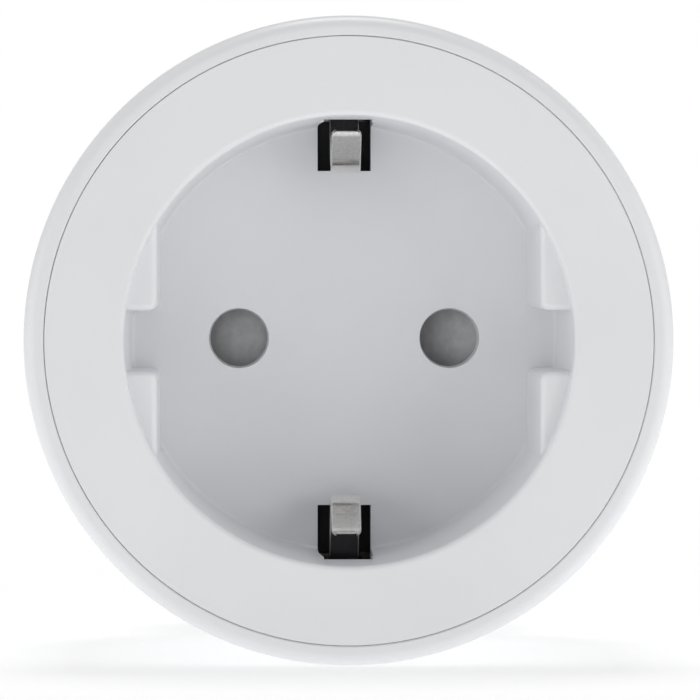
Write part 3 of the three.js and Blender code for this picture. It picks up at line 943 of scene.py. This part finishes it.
@dataclass
class FrontCover:
    """The front disc with its socket well, guide blocks, pin holes and clip windows."""

    finishes: Finishes
    radius: float = 26.62
    edge_chamfer: float = 0.06
    mouth: float = 19.7
    floor_radius: float = 19.2
    depth: float = 17.5
    floor_thickness: float = 2.2
    wall: float = 1.8
    key_flat: float = 16.8
    key_draft: float = 0.28
    key_top: float = 1.65
    key_rim: float = 0.75
    notch: float = 2.65
    window: float = 2.4
    window_inner: float = 15.07
    window_outer: float = 22.4
    window_depth: float = 8.7
    window_front: Point2 = (-2.0, 2.2)
    window_slants: Point2 = (4.3, 2.0)
    ramp: Point2 = (-1.96, 2.1)
    ramp_start: float = 0.6
    ramp_base: float = 17.0
    ramp_fall: float = 0.1
    hole: float = 2.7
    hole_round: float = 0.05

    def disc(self) -> Shape:
        """Returns the turned body of the cover."""
        floor = FRONT + self.depth
        back = floor + self.floor_thickness
        outer = self.mouth + self.wall
        profile = [
            (0.0, floor),
            (self.floor_radius, floor),
            (self.mouth, FRONT),
            (self.radius - self.edge_chamfer, FRONT),
            (self.radius, FRONT + self.edge_chamfer),
            (self.radius, FRONT + 9.6),
            (self.radius - 1.6, FRONT + 9.6),
            (self.radius - 1.6, FRONT + 2),
            (outer, FRONT + 2),
            (outer, back),
            (0.0, back),
        ]
        rounds = {1: 0.35, 2: 0.5, 5: 0.4, 6: 0.3, 7: 0.6, 8: 0.6, 9: 0.8}
        return lathe(rounded(profile, rounds), steps=224)

    def guide_block(self) -> Shape:
        """Returns the upper right guide block, which the other three mirror."""
        reach = self.mouth + 0.8
        tip = math.degrees(math.acos(self.key_flat / reach))
        low = math.degrees(math.asin(self.notch / reach))
        outline = rounded(
            [(self.key_flat, self.notch), *arc((0, 0), reach, low, tip, 10)], {0: 0.9}, 6
        )
        top, bottom = FRONT + self.key_top, FRONT + self.depth + 1
        block = prism(outline, Axis.Y, top, bottom)
        for vert in block.verts:
            if vert.co.y > bottom - 0.1 and vert.co.x < self.key_flat + 0.5:
                vert.co.x -= self.key_draft
        rim = [
            edge
            for edge in block.edges
            if all(abs(v.co.y - top) < WELD for v in edge.verts)
            and min(v.co.xz.length for v in edge.verts) < reach - 1e-3
        ]
        return soften(block, self.key_rim, 5, edges=rim)

    def hole_cutter(self, side: int) -> Shape:
        """Makes the shape of one pin hole, with the small round at its mouth.

        Args:
            side: Which side it is on, -1 or 1.

        Returns:
            A closed shape.
        """
        floor = FRONT + self.depth
        profile = [
            (0.0, floor - 1),
            (self.hole + self.hole_round, floor - 1),
            *quarter(
                (self.hole + self.hole_round, floor - 0.001),
                (self.hole, floor + self.hole_round),
                False,
                4,
            ),
            (self.hole - 0.2, floor + self.floor_thickness + 1),
            (0.0, floor + self.floor_thickness + 1),
        ]
        return moved(lathe(profile, steps=64), x=side * PIN_OFFSET)

    def window_cutters(self) -> list[Shape]:
        """Returns the upper clip window and the shallow channel that leads in to it."""
        top = FRONT + self.window_depth
        back = FRONT + self.depth + self.floor_thickness + 1
        half, (left, right) = self.window, self.window_front
        plan = [
            (half, back),
            (-half, back),
            (-half, top + self.window_slants[0]),
            (left, top),
            (right, top),
            (half, top + self.window_slants[1]),
        ]
        window = prism(plan, Axis.Z, self.window_inner, self.window_outer)
        return [window, self.lead_in(top + 0.3)]

    def lead_in(self, end: float) -> Shape:
        """Makes the ramp that leads in to the upper window, from nothing inside the mouth.

        Args:
            end: Where it stops along Y, just inside the window.

        Returns:
            A closed shape.
        """
        (left, right), base, top = self.ramp, self.ramp_base, self.mouth - 0.08
        shape = slab((left, FRONT + self.ramp_start, base), (right, end, top))
        for vert in shape.verts:
            if vert.co.y > end - 0.1:
                vert.co.x *= self.window / (right if vert.co.x > 0 else -left)
                vert.co.z -= self.ramp_fall if vert.co.z > base + 1 else 0.0
        return shape

    def build(self) -> None:
        """Builds the cover."""
        block = self.guide_block()
        left = mirrored(block, Axis.X)
        blocks = [block, left, mirrored(block, Axis.Z), mirrored(left, Axis.Z)]
        body = Solid.FUSE.apply(self.disc(), blocks)
        upper = self.window_cutters()
        lower = [mirrored(shape, Axis.Z) for shape in upper]
        cutters = [self.hole_cutter(-1), self.hole_cutter(1), *upper, *lower]
        shape = Solid.CUT.apply(body, cutters)
        placed("cover", shape, self.finishes.white, ["front_cover"])


@dataclass
class SideButton:
    """The oval button that follows the housing's curve, and the light pipe beside it."""

    finishes: Finishes
    cap: Point2 = (8.0, 14.0)
    flange: Point2 = (10.0, 16.0)
    inner: float = 26.1
    flange_inner: float = 25.3

    def banded(self, inner: float, outer: float, size: Point2, steps: int) -> Shape:
        """Makes an oval piece of a round band about the housing's axis.

        Args:
            inner: The band's inner radius.
            outer: Its outer radius.
            size: The oval's width and height.
            steps: How many stretches the whole band is made of.

        Returns:
            A closed shape.
        """
        low, high = BUTTON_CENTRE[0] - 9, BUTTON_CENTRE[0] + 9
        band = lathe([(inner, low), (outer, low), (outer, high), (inner, high)], True, steps)
        return Solid.KEEP.apply(band, [prism(oval(BUTTON_CENTRE, *size), Axis.X, 15, 30)])

    def build(self) -> None:
        """Builds the button and the light pipe."""
        y = BUTTON_CENTRE[0]
        cap = soften(self.banded(self.inner, BODY_RADIUS - 0.05, self.cap, 224), 0.3, 3, 50)
        flange = self.banded(self.flange_inner, self.inner + 0.1, self.flange, 96)
        stem = rod(1.8, Axis.X, (25.05, y, 0), (26, y, 0))
        shape = gathered([cap, flange, stem])
        placed("button", shape, self.finishes.white, ["power_button"], "button")
        pipe = rod(1.2, Axis.X, (22.5, LIGHT_Y, 0), (BODY_RADIUS - 0.1, LIGHT_Y, 0), 0.2)
        collar = rod(1.9, Axis.X, (24.4, LIGHT_Y, 0), (25.9, LIGHT_Y, 0), 0.2)
        shape = Solid.FUSE.apply(pipe, [collar])
        placed("indicator_pipe", shape, self.finishes.clear, ["light_pipe"])


# ---------- socket ----------


@dataclass
class EarthClips:
    """The two spring clips in the well and the strap that they stand on."""

    finishes: Finishes
    hinge: Point2 = (-38.0, 20.65)
    width: float = 2.66
    thickness: float = 0.5
    corner: float = 0.6
    root_bend: float = 1.6
    nose_bend: float = 3.3
    lower_set: float = 4.3

    def strip(self) -> Shape:
        """Returns one clip, drawn about its root for the top of the well."""
        line = [(-0.15, 0.0), (-6.9, 0.0), (-12.21, -6.8), (-16.3, -2.05)]
        bent = rounded(line, {1: self.root_bend, 2: self.nose_bend}, 14)
        return bent_strip(bent, self.width, self.thickness, self.corner)

    def build(self) -> None:
        """Builds both clips and the strap."""
        for name, node, body, turn, flip in (
            ("clip_top", "earth_clip_upper", "clip_upper", 0.0, False),
            ("clip_bottom", "earth_clip_lower", "clip_lower", self.lower_set, True),
        ):
            shape = self.strip()
            spin = Matrix.Rotation(math.radians(turn), 3, "X")
            bmesh.ops.rotate(shape, cent=(0, 0, 0), matrix=spin, verts=shape.verts)
            moved(shape, y=self.hinge[0], z=self.hinge[1])
            if flip:
                upright, shape = shape, mirrored(shape, Axis.Z)
                upright.free()
            placed(name, shape, self.finishes.nickel, [node], body)
        strap = cad_copy("earth_bracket", 0.12)
        placed("clip_strap", strap, self.finishes.nickel, ["earth_bracket"])


@dataclass
class Shutter:
    """The grey slider behind the pin holes, with its slopes, and its spring."""

    finishes: Finishes
    turns: int = 6
    steps: int = 120
    coil: float = 0.85
    wire: float = 0.16

    def build(self) -> None:
        """Builds the slider and the spring."""
        slider = cad_copy("shutter_slider", 0.12)
        placed("shutter", slider, self.finishes.grey, ["shutter_slider"], "shutter")
        low, high = (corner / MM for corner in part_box("shutter_spring"))
        centre = (low + high) / 2
        start, end, radius = low.x + 0.2, high.x - 0.2, self.coil
        points = []
        for i in range(self.steps + 1):
            turn = i / self.steps * self.turns * FULL_TURN
            x, y = start + (end - start) * i / self.steps, centre.y + radius * math.cos(turn)
            points.append((x, y, centre.z + radius * math.sin(turn)))
        coil = swept_tube(points, self.wire)
        piece = placed(
            "return_spring", coil, self.finishes.steel, ["shutter_spring"]
        )
        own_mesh(piece)


@dataclass
class Carrier:
    """The black moulding behind the well, with the two sleeves that grip the load's pins."""

    finishes: Finishes

    def build(self) -> None:
        """Builds the moulding and the sleeves."""
        moulding = cad_copy("contact_carrier", 0.15)
        placed("carrier", moulding, self.finishes.carrier, ["contact_carrier"])
        for name, node in (("line_sleeve", "line_contact"), ("neutral_sleeve", "neutral_contact")):
            shape = cad_copy(node, 0.06)
            placed(name, shape, self.finishes.bronze, [node])


# ---------- plug ----------


@dataclass
class Plug:
    """The plug boss with its two pins, side earth strips and earth sleeve."""

    finishes: Finishes
    end_wall: float = -3.0
    flange: Point2 = (-21.3, -19.35)
    flange_radius: float = 20.1
    post_place: float = 13.36
    post_radius: float = 1.9
    post_root: float = -20.5
    hollow_radius: float = 17.2
    hollow_flat: float = 14.8
    hollow_start: float = -26.0
    pin_hole: float = 2.5
    earth_hole: float = 3.1
    groove: float = 2.45
    earth: float = 10.0

    def boss(self) -> Shape:
        """Returns the boss with its holes and grooves."""
        shell = boss_prism(0.0, self.flange[0], 0.0, 0.6)
        front, back = self.flange
        rim = self.flange_radius
        collar = lathe([(0, front), (rim, front), (rim, back), (0, back)])
        foot, width, root = BOARD_BACK, self.post_radius, self.post_root
        places = (-self.post_place, self.post_place)
        posts = [
            moved(lathe([(0, foot), (width, foot), (width, root), (0, root)], steps=32), x, 0, z)
            for x in places
            for z in places
        ]
        radius, wall = self.hollow_radius, self.end_wall
        flat = math.degrees(math.acos(self.hollow_flat / radius))
        outline = [
            *arc((0, 0), radius, flat, 180 - flat, 48),
            *arc((0, 0), radius, 180 + flat, 360 - flat, 48),
        ]
        hollow = prism(outline, Axis.Y, self.hollow_start, wall)
        body = Solid.CUT.apply(Solid.FUSE.apply(shell, [collar, *posts]), [hollow])
        pins = (-PIN_OFFSET, PIN_OFFSET)
        towers = [self.tube(4.4, 3.35, (wall - 3.3, wall + 0.1), x, 0.0) for x in pins]
        towers.append(self.tube(5.0, 4.05, (wall - 9, wall + 0.1), 0.0, self.earth))
        body = Solid.FUSE.apply(body, towers)
        holes = [self.flared(self.pin_hole, x, 0.0) for x in pins]
        holes.append(self.flared(self.earth_hole, 0.0, self.earth))
        groove = slab((-self.groove, -16.3, 17.85), (self.groove, 1, 20))
        slot = slab((-self.groove, -16.6, 15.5), (self.groove, -13.4, 19.5))
        cuts = [groove, slot, mirrored(groove, Axis.Z), mirrored(slot, Axis.Z)]
        return Solid.CUT.apply(body, holes + cuts)

    def tube(self, outer: float, inner: float, span: Point2, x: float, z: float) -> Shape:
        """Makes a short tube along Y.

        Args:
            outer: Its outer radius.
            inner: Its bore's radius.
            span: Where it starts and ends along Y.
            x: Its centre's X.
            z: Its centre's Z.

        Returns:
            A closed shape.
        """
        low, high = span
        ring = [(inner, low), (outer, low), (outer, high), (inner, high)]
        return moved(lathe(ring, closed=True, steps=48), x, 0, z)

    def flared(self, radius: float, x: float, z: float) -> Shape:
        """Makes the shape of a hole through the end wall, with a small round at its mouth.

        Args:
            radius: The hole's radius.
            x: Its centre's X.
            z: Its centre's Z.

        Returns:
            A closed shape.
        """
        profile = [
            (0.0, self.end_wall - 1),
            (radius, self.end_wall - 1),
            *quarter((radius, -0.3), (radius + 0.3, 0.001), True, 5),
            (radius + 0.3, 1.0),
            (0.0, 1.0),
        ]
        return moved(lathe(profile, steps=64), x, 0, z)

    def pin(self, x: float) -> Shape:
        """Makes one pin, with its collar and round tip.

        Args:
            x: Where it stands.

        Returns:
            A closed shape.
        """
        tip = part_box("line_pin")[1].y / MM
        foot, seat = self.end_wall - 3.2, self.end_wall - 0.05
        profile = [
            (0.0, foot),
            *rounded([(3.2, foot), (3.2, seat), (2.4, seat)], {0: 0.3, 1: 0.2}, 3),
            *quarter((2.4, tip - 2.2), (0.7, tip), True, 12),
            (0.0, tip),
        ]
        return moved(lathe(profile, steps=72), x)

    def build(self) -> None:
        """Builds the plug's pieces."""
        done = self.finishes
        placed("plug_boss", self.boss(), done.boss, ["plug_base"])
        placed("pin_left", self.pin(-PIN_OFFSET), done.pin_metal, ["line_pin"])
        placed("pin_right", self.pin(PIN_OFFSET), done.pin_metal, ["neutral_pin"])
        line = rounded(
            [(BOARD_BACK, 16.4), (-15.9, 16.4), (-13.9, 18.35), (-1.6, 18.35)], {1: 0.8, 2: 0.8}, 5
        )
        upper = bent_strip(line, 4.4, 0.6, 0.5)
        lower = mirrored(upper, Axis.Z)
        placed("side_contact_top", upper, done.nickel, ["earth_strip_upper"])
        placed("side_contact_bottom", lower, done.nickel, ["earth_strip_lower"])
        front, back, bore = self.end_wall - 0.1, self.end_wall - 12, 3.15
        profile = [
            (0.0, back - 0.6),
            (bore + 0.6, back - 0.6),
            (bore + 0.6, front),
            (bore, front),
            (bore, back),
            (0.0, back),
        ]
        sleeve = lathe(rounded(profile, {1: 0.4, 2: 0.15, 3: 0.15, 4: 0.3}, 3), steps=72)
        slit = slab((-0.4, back + 3, -5), (0.4, front + 1, 5))
        sleeve = moved(Solid.CUT.apply(sleeve, [slit]), z=self.earth)
        placed("earth_sleeve", sleeve, done.bronze, ["earth_socket"])


# ---------- electronics ----------


@dataclass
class Electronics:
    """The boards and what they carry."""

    finishes: Finishes
    front: float = -24.55
    plunger: float = 1.65
    varistor: float = 3.4

    def block_pieces(self) -> None:
        """Builds the parts whose form is a moulded block."""
        done = self.finishes
        for name, node, finish, slot, edge in (
            ("load_relay", "relay", done.black, "black_plastic", 0.5),
            ("mains_film_capacitor", "film_capacitor", done.yellow, "component_yellow", 0.35),
            ("rectifier", "bridge_diode", done.black, "black_plastic", 0.25),
            ("measuring_chip", "metering_chip", done.black, "black_plastic", 0.15),
            ("radio_shield", "shield_can", done.steel, "plated_steel", 0.2),
            ("switch_case", "tact_switch", done.black, "black_plastic", 0.15),
            ("indicator_lamp", "status_led", done.clear, "clear_plastic", 0.2),
            ("current_shunt", "shunt_strap", done.bronze, "contact_bronze", 0.1),
        ):
            placed(name, cad_copy(node, edge), finish, [node])

    def turned_piece(
        self, outline: list[Point2], rounds: dict[int, float], x: float, z: float
    ) -> Shape:
        """Turns one part that stands on the board's front face.

        Args:
            outline: Its outline from the axis, up to where it meets the board.
            rounds: How far back each corner's round starts.
            x: Where it stands.
            z: Its height.

        Returns:
            A closed shape.
        """
        outline = [*outline, (outline[-1][0], self.front), (0.0, self.front)]
        return moved(lathe(rounded(outline, rounds, 4), steps=64), x=x, z=z)

    def capacitor(self) -> None:
        """Builds the electrolytic can, with its crimp and its scored end."""
        outline = [(0, -32.6), (4, -32.6), (4, -26.4), (3.75, -26.1), (4, -25.8)]
        can = self.turned_piece(outline, {1: 0.5, 2: 0.1, 3: 0.1, 4: 0.1, 5: 0.3}, 7.6, 18)
        score = slab((5.0, -33, 17.9), (10.2, -32.45, 18.1))
        cross = slab((7.5, -33, 15.4), (7.7, -32.45, 20.6))
        shape = Solid.CUT.apply(can, [score, cross])
        placed("bulk_can", shape, self.finishes.black, ["bulk_capacitor"])

    def coil(self) -> None:
        """Builds the inductor's drum and its enamelled winding."""
        x, z, rows = -7.8, -17.8, 13
        outline = [(0, -32), (3.8, -32), (3.8, -31), (2, -31), (2, -25.6), (3.8, -25.6)]
        core = self.turned_piece(outline, {1: 0.2, 2: 0.2, 5: 0.2, 6: 0.2}, x, z)
        placed("inductor_core", core, self.finishes.black, ["inductor"])
        crests = []
        for i in range(rows):
            y = -30.9 + (i + 0.5) * 5.2 / rows
            crests += [(3.15, y - 0.2), (3.35, y - 0.08), (3.35, y + 0.08), (3.15, y + 0.2)]
        winding = lathe([(2.05, -30.9), *crests, (2.05, -25.7)], closed=True, steps=64)
        wound = moved(winding, x=x, z=z)
        placed("inductor_winding", wound, self.finishes.copper)

    def round_pieces(self) -> None:
        """Builds the parts that are turned: capacitor, inductor, varistor and fuse resistor."""
        done = self.finishes
        self.capacitor()
        self.coil()
        height = self.front - self.varistor
        disc = rod(self.varistor, Axis.X, (4.5, height, -18), (7.5, height, -18), 1.0)
        placed("surge_disc", disc, done.blue, ["varistor"])
        outline = [(0, -31), (1.5, -31), (1.5, -29.6), (1.25, -29.2), (1.25, -26.4), (1.5, -26)]
        body = self.turned_piece(outline, {1: 0.4, 2: 0.3, 5: 0.3, 6: 0.4}, 10.6, -18.5)
        placed("fusible_resistor", body, done.green, ["fuse_resistor"])

    def build(self) -> None:
        """Builds the parts, and dresses the boards, wires and screws that stay."""
        done = self.finishes
        self.block_pieces()
        self.round_pieces()
        y, nodes = BUTTON_CENTRE[0], ["tact_plunger"]
        plunger = rod(self.plunger, Axis.X, (23.5, y, 0), (25, y, 0), 0.2)
        placed("switch_button", plunger, done.black, nodes, "switch_plunger")
        for node in ("main_board", "control_board", "wifi_board"):
            dressed(node, done.board)
        dressed("line_wire", done.wire_brown)
        dressed("neutral_wire", done.wire_blue)
        dressed("earth_wire", done.wire_green)
        for kind in ("carrier_screw", "board_screw"):
            for number in range(1, 5):
                dressed(f"{kind}_{number}", done.steel)


# ---------- studio ----------


@dataclass
class Studio:
    """The camera, the pale floor and backdrop, and the soft lights."""

    azimuth: float = -1.57
    elevation: float = 0.95
    distance: float = 510.0
    field_of_view: float = 6.856
    drop: float = 0.786

    def camera(self) -> None:
        """Sets the camera in front of the socket."""
        lens = bpy.data.cameras.new("camera")
        lens.sensor_width = 36
        lens.angle = math.radians(self.field_of_view)
        lens.clip_start = 0.01
        lens.clip_end = 50
        camera = linked("camera", lens)
        turn, rise = math.radians(self.azimuth), math.radians(self.elevation)
        away = Vector(
            (math.sin(turn) * math.cos(rise), -math.cos(turn) * math.cos(rise), math.sin(rise))
        )
        aim = Vector((0.05, FRONT, -self.drop))
        camera.location = (aim + away * self.distance) * MM
        camera.rotation_euler = (-away).to_track_quat("-Z", "Y").to_euler()
        bpy.context.scene.camera = camera

    def sheet(
        self, name: str, half: float, glow: float, base: float, spin: float, place: Point3
    ) -> None:
        """Sets up one plain pale sheet of the studio.

        Args:
            name: Its name.
            half: Half the length of its side, in metres.
            glow: How much light it gives off by itself.
            base: Its own brightness.
            spin: How far it is turned about X from level, in degrees.
            place: Where its centre is, in metres.
        """
        shape = bmesh.new()
        bmesh.ops.create_grid(shape, x_segments=1, y_segments=1, size=half)
        turn = Matrix.Rotation(math.radians(spin), 3, "X")
        bmesh.ops.rotate(shape, cent=(0, 0, 0), matrix=turn, verts=shape.verts)
        mesh = meshed(name, moved(shape, *place))
        graph = Graph(f"{name}_paper")
        fibre = graph.noise(900, 3)
        graph.coloured(fibre, shaded((base,) * 3, 0.98), (base,) * 3)
        graph.constants(Roughness=0.9, Specular_IOR_Level=0.1, Emission_Strength=glow)
        graph.constants(Emission_Color=(1.0, 1.0, 1.0, 1.0))
        mesh.materials.append(graph.material)
        linked(name, mesh)

    def soft_light(self, name: str, place: Point3, size: float, power: float) -> None:
        """Adds a square soft light that faces the object.

        Args:
            name: Its name.
            place: Where it stands, in metres.
            size: The length of its side, in metres.
            power: Its power, in watts.
        """
        light = bpy.data.lights.new(name, "AREA")
        light.shape = "SQUARE"
        light.size = size
        light.energy = power
        holder = linked(name, light)
        holder.location = place
        aim = Vector((0, -0.04, 0)) - Vector(place)
        holder.rotation_euler = aim.to_track_quat("-Z", "Y").to_euler()

    def build(self) -> None:
        """Sets up the whole studio."""
        self.camera()
        self.sheet("floor", 4.0, 0.55, 0.56, 0.0, (0, 0, CAD_BOX[0][2]))
        self.sheet("backdrop", 0.36, 1.0, 0.0, 90.0, (0, 0.8, 0))
        world = bpy.data.worlds.new("studio")
        world.use_nodes = True
        world.node_tree.nodes["Background"].inputs["Color"].default_value = (1, 1, 1, 1)
        world.node_tree.nodes["Background"].inputs["Strength"].default_value = 0.35
        bpy.context.scene.world = world
        bpy.context.scene.view_settings.view_transform = "Standard"
        self.soft_light("front_right", (0.7, -0.8, 0.0), 0.5, 2.05)
        self.soft_light("front_left", (-0.8, -0.65, 0.0), 0.5, 1.6)
        self.soft_light("left", (-1.0, -0.2, 0.1), 0.8, 2.6)
        self.soft_light("right", (1.0, -0.2, 0.1), 0.8, 3.2)
        self.soft_light("overhead", (0.0, 0.3, 1.1), 0.45, 4.5)


def main() -> None:
    """Builds the studio and every sub-assembly."""
    logging.basicConfig(level=logging.INFO, format="%(name)s %(message)s")
    Studio().build()
    finishes = Finishes()
    for part in (Housing, FrontCover, SideButton, EarthClips, Shutter, Carrier, Plug, Electronics):
        part(finishes).build()


if __name__ == "__main__":
    main()
